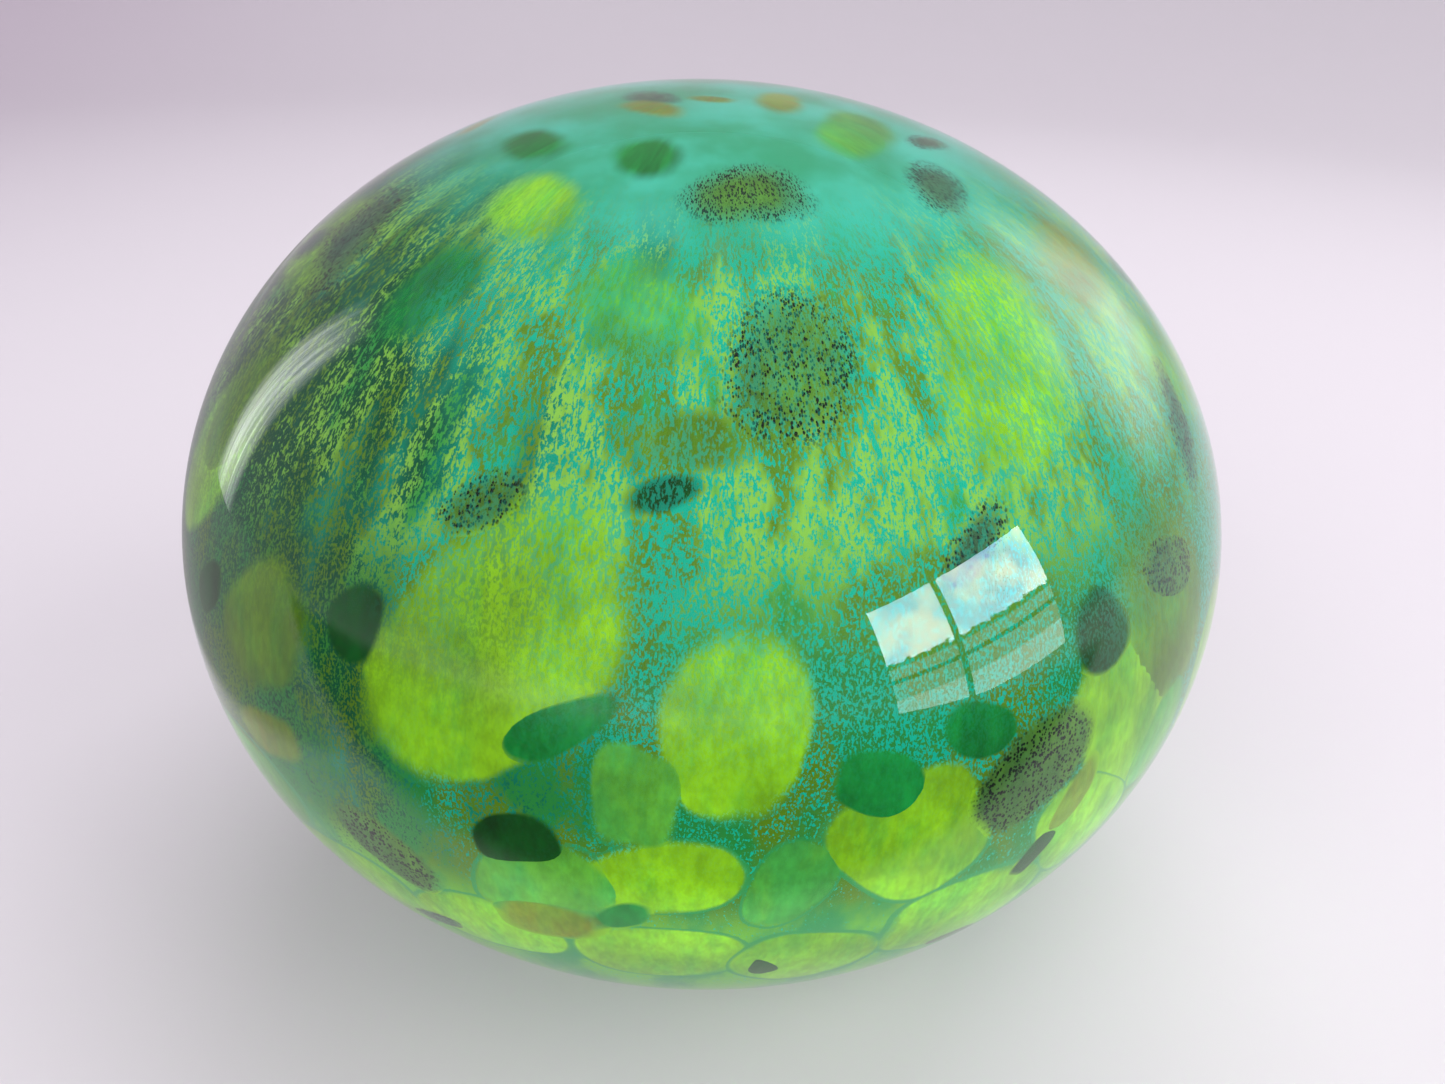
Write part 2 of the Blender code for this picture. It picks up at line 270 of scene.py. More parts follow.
class Sketch:
    """Builds one material's nodes. A value is a number, a vector or another node's output."""

    def __init__(self, name):
        self.material = bpy.data.materials.new(name)
        self.material.use_nodes = True
        self.tree = self.material.node_tree
        self.tree.nodes.clear()

    def node(self, kind, values=(), **settings):
        made = self.tree.nodes.new(kind)
        for key, value in settings.items():
            setattr(made, key, value)
        for key, value in dict(values).items():
            self.feed(made.inputs[key], value)
        return made

    def feed(self, socket, value):
        if isinstance(value, bpy.types.NodeSocket):
            self.tree.links.new(value, socket)
        else:
            socket.default_value = value

    def math(self, operation, *values):
        return self.node("ShaderNodeMath", enumerate(values), operation=operation).outputs[0]

    def vector(self, operation, *values):
        return self.node("ShaderNodeVectorMath", enumerate(values), operation=operation).outputs[0]

    def scaled(self, value, factor):
        return self.node("ShaderNodeVectorMath", {0: value, "Scale": factor}, operation="SCALE").outputs[0]

    def parts(self, value):
        """The X, Y and Z of a vector."""
        return self.node("ShaderNodeSeparateXYZ", {0: value}).outputs

    def around(self, value, middle, gain):
        """How far a value is from the middle, times a gain."""
        return self.math("MULTIPLY", self.math("SUBTRACT", value, middle), gain)

    def noise(self, place, scale, detail=2.0, roughness=0.5, distortion=0.0):
        made = self.node("ShaderNodeTexNoise", {"Vector": place, "Scale": scale, "Detail": detail})
        self.feed(made.inputs["Roughness"], roughness)
        self.feed(made.inputs["Distortion"], distortion)
        return made.outputs["Fac"]

    def span(self, value, low, high, first=0.0, last=1.0):
        """Eases from first to last as value goes from low to high."""
        values = {"Value": value, "From Min": low, "From Max": high, "To Min": first, "To Max": last}
        return self.node("ShaderNodeMapRange", values, interpolation_type="SMOOTHSTEP").outputs[0]

    def blend(self, share, first, second):
        """A colour between two. A colour mix has several sockets of one name, so they go by number."""
        made = self.node("ShaderNodeMix", data_type="RGBA")
        self.feed(made.inputs[0], share)
        self.feed(made.inputs[6], first)
        self.feed(made.inputs[7], second)
        return made.outputs[2]

    def ramp(self, value, stops):
        """Smooth steps between (place, colour) stops, where a number stands for a grey."""
        made = self.node("ShaderNodeValToRGB", {"Fac": value})
        made.color_ramp.interpolation = "EASE"
        while len(made.color_ramp.elements) < len(stops):
            made.color_ramp.elements.new(1.0)
        for element, (place, colour) in zip(made.color_ramp.elements, stops):
            element.position = place
            element.color = colour if isinstance(colour, tuple) else (colour, colour, colour, 1.0)
        return made.outputs[0]

    def attribute(self, name):
        return self.node("ShaderNodeAttribute", attribute_name=name).outputs["Fac"]

    def finish(self, shader):
        output = self.node("ShaderNodeOutputMaterial")
        self.tree.links.new(shader, output.inputs["Surface"])
        return self.material


Place = namedtuple("Place", "position round_up degrees")


def dome_place(s):
    """Where a point of the wall is: its position, coordinates along the meridians, and its latitude."""
    coordinates = s.node("ShaderNodeTexCoord").outputs["Object"]
    position = s.vector("MULTIPLY", coordinates, (1000.0, 1000.0, 1000.0))
    x, y, z = s.parts(position)
    radius = s.math("SQRT", s.math("MULTIPLY_ADD", x, x, s.math("MULTIPLY", y, y)))
    radius = s.math("MAXIMUM", radius, 0.01)
    height = s.math("SUBTRACT", z, CENTRE_HEIGHT * 1000)
    angle = s.math("ARCTAN2", s.math("DIVIDE", height, HALF_HEIGHT), s.math("DIVIDE", radius, OUTER_RADIUS))
    half_width = OUTER_RADIUS * 1000
    mean_radius = half_width * 0.9
    values = {
        0: s.math("MULTIPLY", s.math("DIVIDE", x, radius), half_width),
        1: s.math("MULTIPLY", s.math("DIVIDE", y, radius), half_width),
        2: s.math("MULTIPLY", angle, mean_radius),
    }
    round_up = s.node("ShaderNodeCombineXYZ", values).outputs[0]
    return Place(position, round_up, s.math("DEGREES", angle))


def drawn_out(s, place, share):
    """The dome's coordinates with features 1 / share times as long along the meridians as across them."""
    return s.vector("MULTIPLY", place.round_up, (1.0, 1.0, share))


def flakes(s, place):
    """Where the crackled colour lies: worm-shaped flakes over the shoulder, finer ones below."""
    latitude = s.math("DIVIDE", s.math("ADD", place.degrees, 90.0), 180.0)
    stops = ((0.0, 0.0), (0.42, 0.0), (0.48, 0.3), (0.57, 0.46), (0.66, 0.46), (0.8, 0.5), (0.87, 0.7))
    patches = s.around(s.noise(drawn_out(s, place, 0.6), 0.05, 3.0), 0.5, 0.7)
    cover = s.math("ADD", s.ramp(latitude, stops), patches)
    cover = s.math("ADD", cover, s.span(s.parts(place.position)[0], -30.0, -80.0, 0.0, 0.12))
    coarse = s.noise(drawn_out(s, place, 0.5), 0.98, 4.0, 0.62, 0.4)
    fine = s.noise(drawn_out(s, place, 0.6), 2.0, 2.0, 0.6, 0.3)
    share = s.span(place.degrees, 12.0, 34.0, 0.75, 0.4)
    grain = s.math("MULTIPLY", coarse, s.math("SUBTRACT", 1.0, share))
    grain = s.math("ADD", grain, s.math("MULTIPLY", fine, share))
    edge = s.math("SUBTRACT", 0.62, s.math("MULTIPLY", cover, 0.24))
    return s.span(s.math("SUBTRACT", grain, edge), -0.010, 0.010)


def flake_colour(s, place):
    """Turquoise in front and to the right, darker on the left and in drifts."""
    across = s.parts(place.position)[0]
    shade = s.math("MULTIPLY", s.noise(drawn_out(s, place, 0.5), 0.06, 3.0), 160.0)
    share = s.span(s.math("ADD", across, shade), 10.0, 70.0)
    return s.blend(share, linear(DARK_FLAKE), linear(FLAKE))


def bed_colour(s, place):
    """The colour under the flakes: pale on the shoulder, deep between the petals, plain below them."""
    clouds = s.noise(drawn_out(s, place, 0.5), 0.055, 4.0, 0.6)
    places = (0.32, 0.44, 0.56, 0.66)
    colours = (linear(BED_GREEN), linear(BED_CREAM), linear(BED_OLIVE), linear(BED_GREEN))
    bed = s.ramp(clouds, tuple(zip(places, colours)))
    deep = s.blend(s.span(clouds, 0.42, 0.58), linear(LOW_GREEN), linear(LOW_OLIVE))
    seam = s.blend(s.span(clouds, 0.4, 0.6), linear(SEAM), linear(SEAM_LIME))
    bed = s.blend(s.span(place.degrees, 30.0, 16.0), bed, deep)
    return s.blend(s.span(place.degrees, -8.0, -16.0), bed, seam)


def with_painted_light(s, place, colour):
    """Painted light and shade: the colour is made paler low on the dome, as painted light, and a little
    deeper on the left, as painted shade.
    """
    across = s.parts(place.position)[0]
    # painted light low on the dome, painted shade towards the left
    low = s.span(place.degrees, 6.0, -14.0, 1.0, 1.55)
    left = s.span(across, -20.0, -80.0, 1.0, 0.90)
    return s.scaled(colour, s.math("MULTIPLY", low, left))


Pattern = namedtuple("Pattern", "flakes flake_colour ground crown")


def dome_pattern(s, place):
    """The crackled ground: smooth at the crown, broken over the shoulder, a plain seam colour below."""
    broken, colour = flakes(s, place), flake_colour(s, place)
    ground = s.blend(broken, bed_colour(s, place), colour)
    crown = s.span(place.degrees, 50.0, 68.0)
    cloud = s.noise(place.position, 0.04, 4.0)
    smooth = s.blend(s.span(cloud, 0.35, 0.65), linear(CROWN_TURQUOISE), linear(CROWN_SHADE))
    return Pattern(broken, colour, s.blend(crown, ground, smooth), crown)


def inside_glass(s, colour):
    """Colour fused under clear glass: it has no surface of its own to shine."""
    values = {"Base Color": colour, "Roughness": 0.5, "Specular IOR Level": 0.0}
    return s.node("ShaderNodeBsdfPrincipled", values).outputs[0]


def ground_material():
    """The crackled layer's glass."""
    s = Sketch("turquoise_ground")
    place = dome_place(s)
    return s.finish(inside_glass(s, with_painted_light(s, place, dome_pattern(s, place).ground)))


def pepper_grains(s, place):
    """Black grains of many sizes, scattered and clumped."""
    values = {"Vector": drawn_out(s, place, 0.8), "Scale": 1.5, "Randomness": 1.0}
    dots = s.node("ShaderNodeTexVoronoi", values)
    size = s.parts(dots.outputs["Color"])[0]
    clumps = s.span(s.noise(place.position, 0.16, 3.0), 0.3, 0.6, 0.6, 1.0)
    reach = s.math("MULTIPLY", s.math("MULTIPLY", size, 0.76), clumps)
    ragged = s.around(s.noise(place.position, 2.5, 2.0), 0.5, 0.2)
    distance = s.math("ADD", dots.outputs["Distance"], ragged)
    return s.span(s.math("SUBTRACT", reach, distance), -0.05, 0.05)


def chip_tone(s, place, colour, cloud):
    """The glass of a chip itself: cloudy, and paler or deeper in patches."""
    body, other = GLASS_COLOURS[colour]
    tinted = s.math("ADD", cloud, s.around(s.attribute("tint"), 0.5, 0.25))
    tone = s.blend(s.span(tinted, 0.34, 0.66), linear(body), linear(other))
    depth = s.span(s.noise(place.position, 0.045, 2.0), 0.3, 0.7, 0.78, 1.3)
    mottle = s.span(s.noise(drawn_out(s, place, 0.5), 0.55, 5.0, 0.6), 0.3, 0.7, 0.86, 1.14)
    return s.scaled(tone, s.math("MULTIPLY", depth, mottle))


def bled(s, place, colour, tone, cloud, ground):
    """A chip's colour, running out at its rim into whatever it lies on."""
    below = s.node("ShaderNodeAttribute", attribute_name="below")
    under = s.blend(below.outputs["Alpha"], ground, below.outputs["Color"])
    sharpness = SHARPNESS[colour]
    soft = s.span(place.degrees, CRISP_BELOW, SOFT_ABOVE, sharpness, sharpness - SOFTENING)
    soft = s.math("SUBTRACT", soft, s.span(s.noise(place.position, 0.05, 1.0), 0.48, 0.7, 0.0, 0.16))
    rim = s.math("ADD", s.attribute("rim"), s.around(cloud, 0.5, 0.16))
    return s.blend(s.span(rim, soft, BLED_AT), tone, under)


def seamed(s, place, tone):
    """A thin darker line just inside the rim, where low petals meet."""
    low = s.span(place.degrees, 8.0, -6.0, 0.0, 0.8)
    line = s.math("MULTIPLY", s.span(s.attribute("rim"), 0.89, 0.94), low)
    return s.blend(line, tone, linear(SEAM))


def peppered(s, place, tone):
    """Black grains, thinning towards the rim."""
    grains = s.math("MULTIPLY", pepper_grains(s, place), s.span(s.attribute("rim"), 1.0, 0.7))
    return s.blend(grains, tone, linear(PEPPER_BLACK))


def veiled(s, place, colour, tone, pattern):
    """Some of the crackle, over the chip's glass: most on the shoulder, none at the crown."""
    below_crown = s.math("SUBTRACT", 1.0, pattern.crown)
    high = s.math("MULTIPLY", below_crown, s.span(place.degrees, 4.0, 30.0, 0.08, 1.0))
    veil = s.math("MULTIPLY", s.math("MULTIPLY", pattern.flakes, high), VEILS[colour])
    return s.blend(veil, tone, pattern.flake_colour)


def chip_material(colour):
    """Glass of one colour: cloudy along the meridians, bleeding at its rim, with some flakes over it."""
    s = Sketch(f"{colour}_chip_glass")
    place = dome_place(s)
    pattern = dome_pattern(s, place)
    cloud = s.noise(drawn_out(s, place, 0.35), 0.13, 5.0, 0.6)
    tone = chip_tone(s, place, colour, cloud)
    tone = bled(s, place, colour, tone, cloud, pattern.ground)
    if colour in ("lime", "green"):
        tone = seamed(s, place, tone)
    if colour in ("pepper", "smoke"):
        tone = peppered(s, place, tone)
    tone = veiled(s, place, colour, tone, pattern)
    return s.finish(inside_glass(s, with_painted_light(s, place, tone)))


def casing_material():
    """Clear fire-polished glass, faintly green along its drawn streaks. Lamps shine through it."""
    s = Sketch("clear_casing_glass")
    cords = s.noise(drawn_out(s, dome_place(s), 0.3), 0.06, 3.0)
    tint = s.blend(s.span(cords, 0.3, 0.7), linear((252, 255, 252)), linear((238, 252, 244)))
    values = {"Base Color": tint, "Roughness": 0.0, "IOR": 1.5, "Transmission Weight": 1.0}
    glass = s.node("ShaderNodeBsdfPrincipled", values).outputs[0]
    lamp = s.node("ShaderNodeLightPath").outputs["Is Shadow Ray"]
    through = s.node("ShaderNodeBsdfTransparent").outputs[0]
    return s.finish(s.node("ShaderNodeMixShader", {0: lamp, 1: glass, 2: through}).outputs[0])


def gather_material():
    """The milky inner gather, seen through the mouth, with its finely ground ring."""
    s = Sketch("inner_gather_glass")
    place = dome_place(s)
    cloud = s.noise(drawn_out(s, place, 0.4), 0.05, 4.0, 0.55)
    tone = s.blend(s.span(cloud, 0.3, 0.7), linear(MILKY_GREEN), linear(MILKY_SHADE))
    ring = s.span(s.parts(place.position)[2], 0.6, 0.2)
    values = {
        "Base Color": tone,
        "Roughness": s.math("ADD", 0.12, s.math("MULTIPLY", ring, 0.3)),
        "Subsurface Weight": 0.1,
        "Subsurface Radius": (0.004, 0.006, 0.004),
    }
    return s.finish(s.node("ShaderNodeBsdfPrincipled", values).outputs[0])


def wall_point(angle, depth):
    """Radius and height of the wall at a depth, at an angle in degrees above the widest level."""
    turn = math.radians(angle)
    radius = (OUTER_RADIUS - depth) * math.cos(turn)
    return radius, CENTRE_HEIGHT + (HALF_HEIGHT - depth) * math.sin(turn)


def base_angle(depth):
    """Where the wall at a depth meets the ground plane."""
    return -math.degrees(math.asin(CENTRE_HEIGHT / (HALF_HEIGHT - depth)))


def flared(depth, angle):
    """A layer's depth, which rises towards the lip near the mouth and keeps the layers' order."""
    along = min(max((FLARE_START - angle) / (FLARE_START - FLARE_END), 0.0), 1.0)
    eased = along * along * (3.0 - 2.0 * along)
    at_lip = LIP_DEPTH + (depth - GATHER_DEPTH) * LIP_SPREAD
    return depth + (at_lip - depth) * eased


def arc(lowest, rows, depth_at):
    """Profile of the wall from the pole down to an angle, where depth_at gives the depth at each angle."""
    angles = [90.0 + (lowest - 90.0) * row / rows for row in range(rows + 1)]
    points = [wall_point(angle, depth_at(angle)) for angle in angles]
    return [(0.0, points[0][1])] + points[1:]


def layer(depth, rows):
    """Profile of a surface that keeps to one layer, from the pole to the ground plane."""
    return arc(base_angle(flared(depth, -90.0)), rows, lambda angle: flared(depth, angle))


def link_mesh(name, mesh, material):
    """Puts a mesh in the scene as an object with its material."""
    mesh.materials.append(material)
    piece = bpy.data.objects.new(name, mesh)
    bpy.context.scene.collection.objects.link(piece)
    return piece


def revolve(name, profile, steps, material):
    """A closed shell turned from a profile that starts and ends on the axis."""
    angles = np.linspace(0.0, math.tau, steps, endpoint=False)
    corners = [(0.0, 0.0, profile[0][1]), (0.0, 0.0, profile[-1][1])]
    for radius, height in profile[1:-1]:
        corners += [(radius * math.cos(a), radius * math.sin(a), height) for a in angles]
    rings = len(profile) - 2
    faces = []
    for i in range(steps):
        j = (i + 1) % steps
        faces.append((0, 2 + i, 2 + j))
        last = 2 + (rings - 1) * steps
        faces.append((1, last + j, last + i))
        for ring in range(rings - 1):
            upper, lower = 2 + ring * steps, 2 + (ring + 1) * steps
            faces.append((upper + i, lower + i, lower + j, upper + j))
    mesh = bpy.data.meshes.new(name)
    mesh.from_pydata(corners, [], faces)
    mesh.shade_smooth()
    mesh.set_sharp_from_angle(angle=SMOOTH_UP_TO)
    return link_mesh(name, mesh, material)


def casing_wobble(spot):
    """How far a blown surface strays from the true shape at a place, in metres."""
    turn = math.atan2(spot.y, spot.x)
    rise = spot.z / HALF_HEIGHT
    lobes = math.sin(2 * turn + 0.7) * 0.5 + math.sin(3 * turn + 2.1 * rise) * 0.3
    return (lobes * (1 - rise * rise) + math.sin(4 * rise + turn) * 0.2 * (1 - rise * rise)) * WOBBLE


def make_casing():
    """The clear casing. Its inner face lies just inside the ground, as glass fused to it has no gap."""
    outer = arc(base_angle(0.0), CASING_ROWS, lambda angle: 0.0)
    inner = layer(GROUND_DEPTH + GROUND_THICKNESS / 3, CASING_ROWS // 2)
    casing = revolve("clear_casing", outer + inner[::-1], CASING_STEPS, casing_material())
    inner_pole = 1
    outer_corners = 2 + CASING_STEPS * CASING_ROWS
    for vert in casing.data.vertices[:outer_corners]:
        spot = vert.co - DOME_CENTRE
        if vert.index != inner_pole and vert.co.z > TRUE_BELOW:
            vert.co += spot.normalized() * casing_wobble(spot)
    return casing


def gore(name, outer, inner, start, end, steps, material):
    """A closed slice of a shell between two turns, so that each slice can carry its own fine detail."""
    profile = outer + inner[::-1]
    rows = len(profile)
    corners = []
    for turn in np.linspace(start, end, steps + 1):
        corners += [(radius * math.cos(turn), radius * math.sin(turn), height) for radius, height in profile]
    faces = []
    for step in range(steps):
        for row in range(rows - 1):
            near, far = step * rows + row, (step + 1) * rows + row
            faces.append((near, near + 1, far + 1, far))
    for column in (0, steps * rows):
        for row in range(len(outer) - 1):
            back = column + rows - 1 - row
            faces.append((column + row, column + row + 1, back - 1, back))
    mesh = bpy.data.meshes.new(name)
    mesh.from_pydata(corners, [], faces)
    shape = bmesh.new()
    shape.from_mesh(mesh)
    bmesh.ops.remove_doubles(shape, verts=shape.verts, dist=1e-7)
    bmesh.ops.recalc_face_normals(shape, faces=shape.faces)
    shape.to_mesh(mesh)
    shape.free()
    mesh.shade_smooth()
    mesh.set_sharp_from_angle(angle=SMOOTH_UP_TO)
    return link_mesh(name, mesh, material)


def make_ground():
    """The crackled ground, in gores that meet edge to edge."""
    outer = layer(GROUND_DEPTH, SHELL_ROWS)[1:]
    inner = layer(GROUND_DEPTH + GROUND_THICKNESS, SHELL_ROWS)[1:]
    outer[0] = (0.0, outer[0][1])
    inner[0] = (0.0, inner[0][1])
    material = ground_material()
    turns = np.linspace(0.0, math.tau, GORES + 1)
    steps = SHELL_STEPS // GORES
    for index in range(GORES):
        name = f"crackled_ground_{index + 1:02d}"
        piece = gore(name, outer, inner, turns[index], turns[index + 1], steps, material)
        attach(piece, BODY)
        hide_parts("turquoise_ground")


def make_gather():
    """The inner gather, from its flared lip over the mouth's rounded edge and back up inside."""
    outer = layer(GATHER_DEPTH, SHELL_ROWS)
    inner_depth = GATHER_DEPTH + GATHER_THICKNESS
    mouth_angle = -math.degrees(math.acos(MOUTH_RADIUS / (OUTER_RADIUS - inner_depth)))
    inner = arc(mouth_angle, SHELL_ROWS, lambda angle: inner_depth)
    edge = []
    for turn in np.linspace(0, math.pi / 2, 6):
        edge.append((MOUTH_RADIUS + MOUTH_EDGE * (1 - math.sin(turn)), MOUTH_EDGE * (1 - math.cos(turn))))
    return revolve("milky_gather", outer + edge + inner[::-1], SHELL_STEPS, gather_material())


def place_on_dome(chip):
    """A chip's length, width and outward directions, and its centre measured from the dome's centre."""
    longitude, latitude = math.radians(chip.longitude), math.radians(chip.latitude)
    radius, height = OUTER_RADIUS - GROUND_DEPTH, HALF_HEIGHT - GROUND_DEPTH
    centre = Vector((math.sin(longitude), -math.cos(longitude), 0.0)) * radius * math.cos(latitude)
    centre.z = height * math.sin(latitude)
    normal = Vector((centre.x / radius**2, centre.y / radius**2, centre.z / height**2)).normalized()
    east = Vector((math.cos(longitude), math.sin(longitude), 0.0))
    north = normal.cross(east)
    turn = math.radians(chip.turn)
    along = east * math.cos(turn) + north * math.sin(turn)
    across = north * math.cos(turn) - east * math.sin(turn)
    return Matrix((along, across, normal)).transposed(), centre


def outline_reach(along, across, chip, seed):
    """How far the outline reaches in a direction: a superellipse with a hand-cut unevenness."""
    flat = math.hypot(along, across)
    if flat < 1e-9:
        return 1.0
    power = abs(along / flat) ** chip.squareness + abs(across / flat) ** chip.squareness
    turn = math.atan2(across, along)
    uneven = 1 + 0.045 * math.sin(2 * turn + seed) + 0.03 * math.sin(3 * turn + 2.3 * seed)
    return power ** (-1.0 / chip.squareness) * (uneven + 0.015 * math.sin(5 * turn + 4.1 * seed))


def chip_shape(chip, growth):
    """What places a chip on the dome: its directions, its centre and half its length and width in metres."""
    directions, centre = place_on_dome(chip)
    return directions, centre, chip.length / 2000 * growth, chip.width / 2000 * growth


def radial_share(spots, chip, seed, growth):
    """How far out on a chip each spot lies, from 0 at its middle to 1 at its rim. Spots are measured from the
    dome's centre."""
    directions, centre, half_length, half_width = chip_shape(chip, growth)
    local = (spots - np.array(centre)) @ np.array(directions)
    along = local[:, 0] / half_length
    across = local[:, 1] / (half_width * (1.0 + chip.taper * np.clip(along, -1.0, 1.0)))
    reach = np.array([outline_reach(a, b, chip, seed) for a, b in zip(along, across)])
    same_side = local[:, 2] > SAME_SIDE_ABOVE
    return np.where(same_side, np.hypot(along, across) / reach, FAR_OUTSIDE)


Laid = namedtuple("Laid", "chip seed growth level")


def look_below(spots, laid):
    """A new chip's level over those it meets, and the colour below each spot. Alpha is 0 over bare ground."""
    colours = np.zeros((len(spots), 4))
    level = 0
    for lower in laid:
        share = radial_share(spots, lower.chip, lower.seed, lower.growth)
        if share.min() < MEETS_WITHIN:
            level = max(level, lower.level + 1)
        rise = min(max((lower.chip.latitude - CRISP_BELOW) / (SOFT_ABOVE - CRISP_BELOW), 0.0), 1.0)
        soft = SHARPNESS[lower.chip.colour] - SOFTENING * rise
        cover = np.clip((BLED_AT - share) / (BLED_AT - soft), 0.0, 1.0)[:, None]
        cover = cover * cover * (3.0 - 2.0 * cover)
        colours = colours * (1.0 - cover) + np.array(linear(GLASS_COLOURS[lower.chip.colour][0])) * cover
    alpha = np.maximum(colours[:, 3:], 1e-6)
    return level, np.hstack((colours[:, :3] / alpha, colours[:, 3:]))


def dome_normal(spot):
    """Straight out of the dome's surface at a spot."""
    out = Vector((spot.x, spot.y, (spot.z - CENTRE_HEIGHT) * (OUTER_RADIUS / HALF_HEIGHT) ** 2))
    return out.normalized()


def flat_points(chip, seed, growth, shape):
    """Where a unit ball's corners go on the chip's flat outline, measured from the dome's centre."""
    directions, centre, half_length, half_width = chip_shape(chip, growth)
    points = []
    for vert in shape.verts:
        along, across, _ = vert.co
        reach = outline_reach(along, across, chip, seed)
        tapered_width = half_width * (1.0 + chip.taper * along)
        flat = Vector((along * reach * half_length, across * reach * tapered_width, 0.0))
        points.append(centre + directions @ flat)
    return points


# Corners of a unit ball higher than this are on its outward half or its rim.
EQUATOR = -0.01


def pressed_chip(name, chip, segments, rings, growth, seed, material, laid):
    """A chip pressed to the dome's curve, its face flush with the layer, with attributes for its material."""
    shape = bmesh.new()
    bmesh.ops.create_uvsphere(shape, u_segments=segments, v_segments=rings, radius=1.0)
    points = flat_points(chip, seed, growth, shape)
    level, below = look_below(np.array(points), laid)
    laid.append(Laid(chip, seed, growth, level))
    face_depth = FIRST_CHIP_DEPTH - PROUDER * level
    rims, normals = [], []
    for vert, spot in zip(shape.verts, points):
        rim = min(math.hypot(vert.co.x, vert.co.y), 1.0)
        rims.append(rim)
        facing = 1.0 if vert.co.z > EQUATOR else -1.0
        end_depth = face_depth if facing > 0 else CHIP_BACK_DEPTH
        inwards = RIM_DEPTH + (end_depth - RIM_DEPTH) * (1.0 - rim**4) ** 0.6
        across_axis = math.hypot(spot.x, spot.y) / (OUTER_RADIUS - inwards)
        spot /= math.hypot(across_axis, spot.z / (HALF_HEIGHT - inwards))
        vert.co = spot + DOME_CENTRE
        normals.append(dome_normal(vert.co) * facing)
    mesh = bpy.data.meshes.new(name)
    shape.to_mesh(mesh)
    shape.free()
    mesh.shade_smooth()
    mesh.normals_split_custom_set_from_vertices(normals)
    mesh.attributes.new("rim", "FLOAT", "POINT").data.foreach_set("value", rims)
    tint = math.modf(seed * TINT_STEP)[0]
    mesh.attributes.new("tint", "FLOAT", "POINT").data.foreach_set("value", [tint] * len(rims))
    mesh.attributes.new("below", "FLOAT_COLOR", "POINT").data.foreach_set("color", below.ravel())
    return link_mesh(name, mesh, material)


def lay_chips(chips, kind, segments, rings, growth, materials, laid):
    """Lays chips one over another. Petals and chips stand for CAD nodes; slivers are extra."""
    counts = {}
    for chip in chips:
        counts[chip.colour] = counts.get(chip.colour, 0) + 1
        node = f"{chip.colour}_{kind}_{counts[chip.colour]:02d}"
        seed = len(laid) * SEED_STEP
        material = materials[chip.colour]
        piece = pressed_chip(f"{node}_fine", chip, segments, rings, growth, seed, material, laid)
        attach(piece, BODY)
        if kind != "sliver":
            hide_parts(node)


def make_glass():
    """The whole wall: petals first, then slivers and chips over them, then the layers around them."""
    materials = {colour: chip_material(colour) for colour in GLASS_COLOURS}
    laid = []
    lay_chips(PETALS, "petal", PETAL_SEGMENTS, PETAL_RINGS, PETAL_GROWTH, materials, laid)
    lay_chips(SLIVERS, "sliver", CHIP_SEGMENTS, CHIP_RINGS, PETAL_GROWTH, materials, laid)
    lay_chips(CHIPS, "chip", CHIP_SEGMENTS, CHIP_RINGS, CHIP_GROWTH, materials, laid)
    make_ground()
    for piece, node, slot in (
        (make_casing(), "outer_casing", "clear_glass"),
        (make_gather(), "inner_gather", "pale_green_glass"),
    ):
        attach(piece, BODY)
        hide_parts(node)


def stage_material():
    """A matt pale paint, with painted shade on the far left: darker there, and a little lilac."""
    s = Sketch("pale_stage")
    position = s.node("ShaderNodeTexCoord").outputs["Object"]
    across = s.parts(position)[0]
    # painted shade: darker and lilac towards the far left
    shade = s.blend(s.span(across, -0.3, -1.7), linear((222, 217, 222)), linear((196, 180, 196)))
    fine = s.noise(position, 180.0, 4.0)
    bump = s.node("ShaderNodeBump", {"Height": fine, "Strength": 0.05, "Distance": 0.001})
    values = {"Base Color": shade, "Roughness": 0.7, "Specular IOR Level": 0.0, "Normal": bump.outputs[0]}
    return s.finish(s.node("ShaderNodeBsdfPrincipled", values).outputs[0])


def make_stage():
    """A pale round floor that curves up into a wall on every side."""
    flat, curve, rise = 1.4, 1.1, 1.0
    flat_rings, curve_rings, steps = 6, 16, 128
    profile = [(flat * (ring + 1) / flat_rings, 0.0) for ring in range(flat_rings)]
    turns = np.linspace(0.0, math.pi / 2, curve_rings + 1)[1:]
    profile += [(flat + curve * math.sin(t), curve * (1 - math.cos(t))) for t in turns]
    profile.append((flat + curve, curve + rise))
    corners = [(0.0, 0.0, 0.0)]
    for radius, height in profile:
        for i in range(steps):
            turn = math.tau * i / steps
            corners.append((radius * math.cos(turn), radius * math.sin(turn), height))
    faces = [(0, 1 + i, 1 + (i + 1) % steps) for i in range(steps)]
    for ring in range(len(profile) - 1):
        for i in range(steps):
            j = (i + 1) % steps
            upper, lower = 1 + ring * steps, 1 + (ring + 1) * steps
            faces.append((upper + i, lower + i, lower + j, upper + j))
    mesh = bpy.data.meshes.new("pale_floor")
    mesh.from_pydata(corners, [], faces)
    mesh.shade_smooth()
    link_mesh("pale_floor", mesh, stage_material())


def towards(azimuth, elevation, distance):
    """A point seen from the dome's centre at an azimuth, from -Y towards +X, and an elevation, in degrees."""
    turn, rise = math.radians(azimuth), math.radians(elevation)
    flat = math.cos(rise)
    return DOME_CENTRE + Vector((math.sin(turn) * flat, -math.cos(turn) * flat, math.sin(rise))) * distance


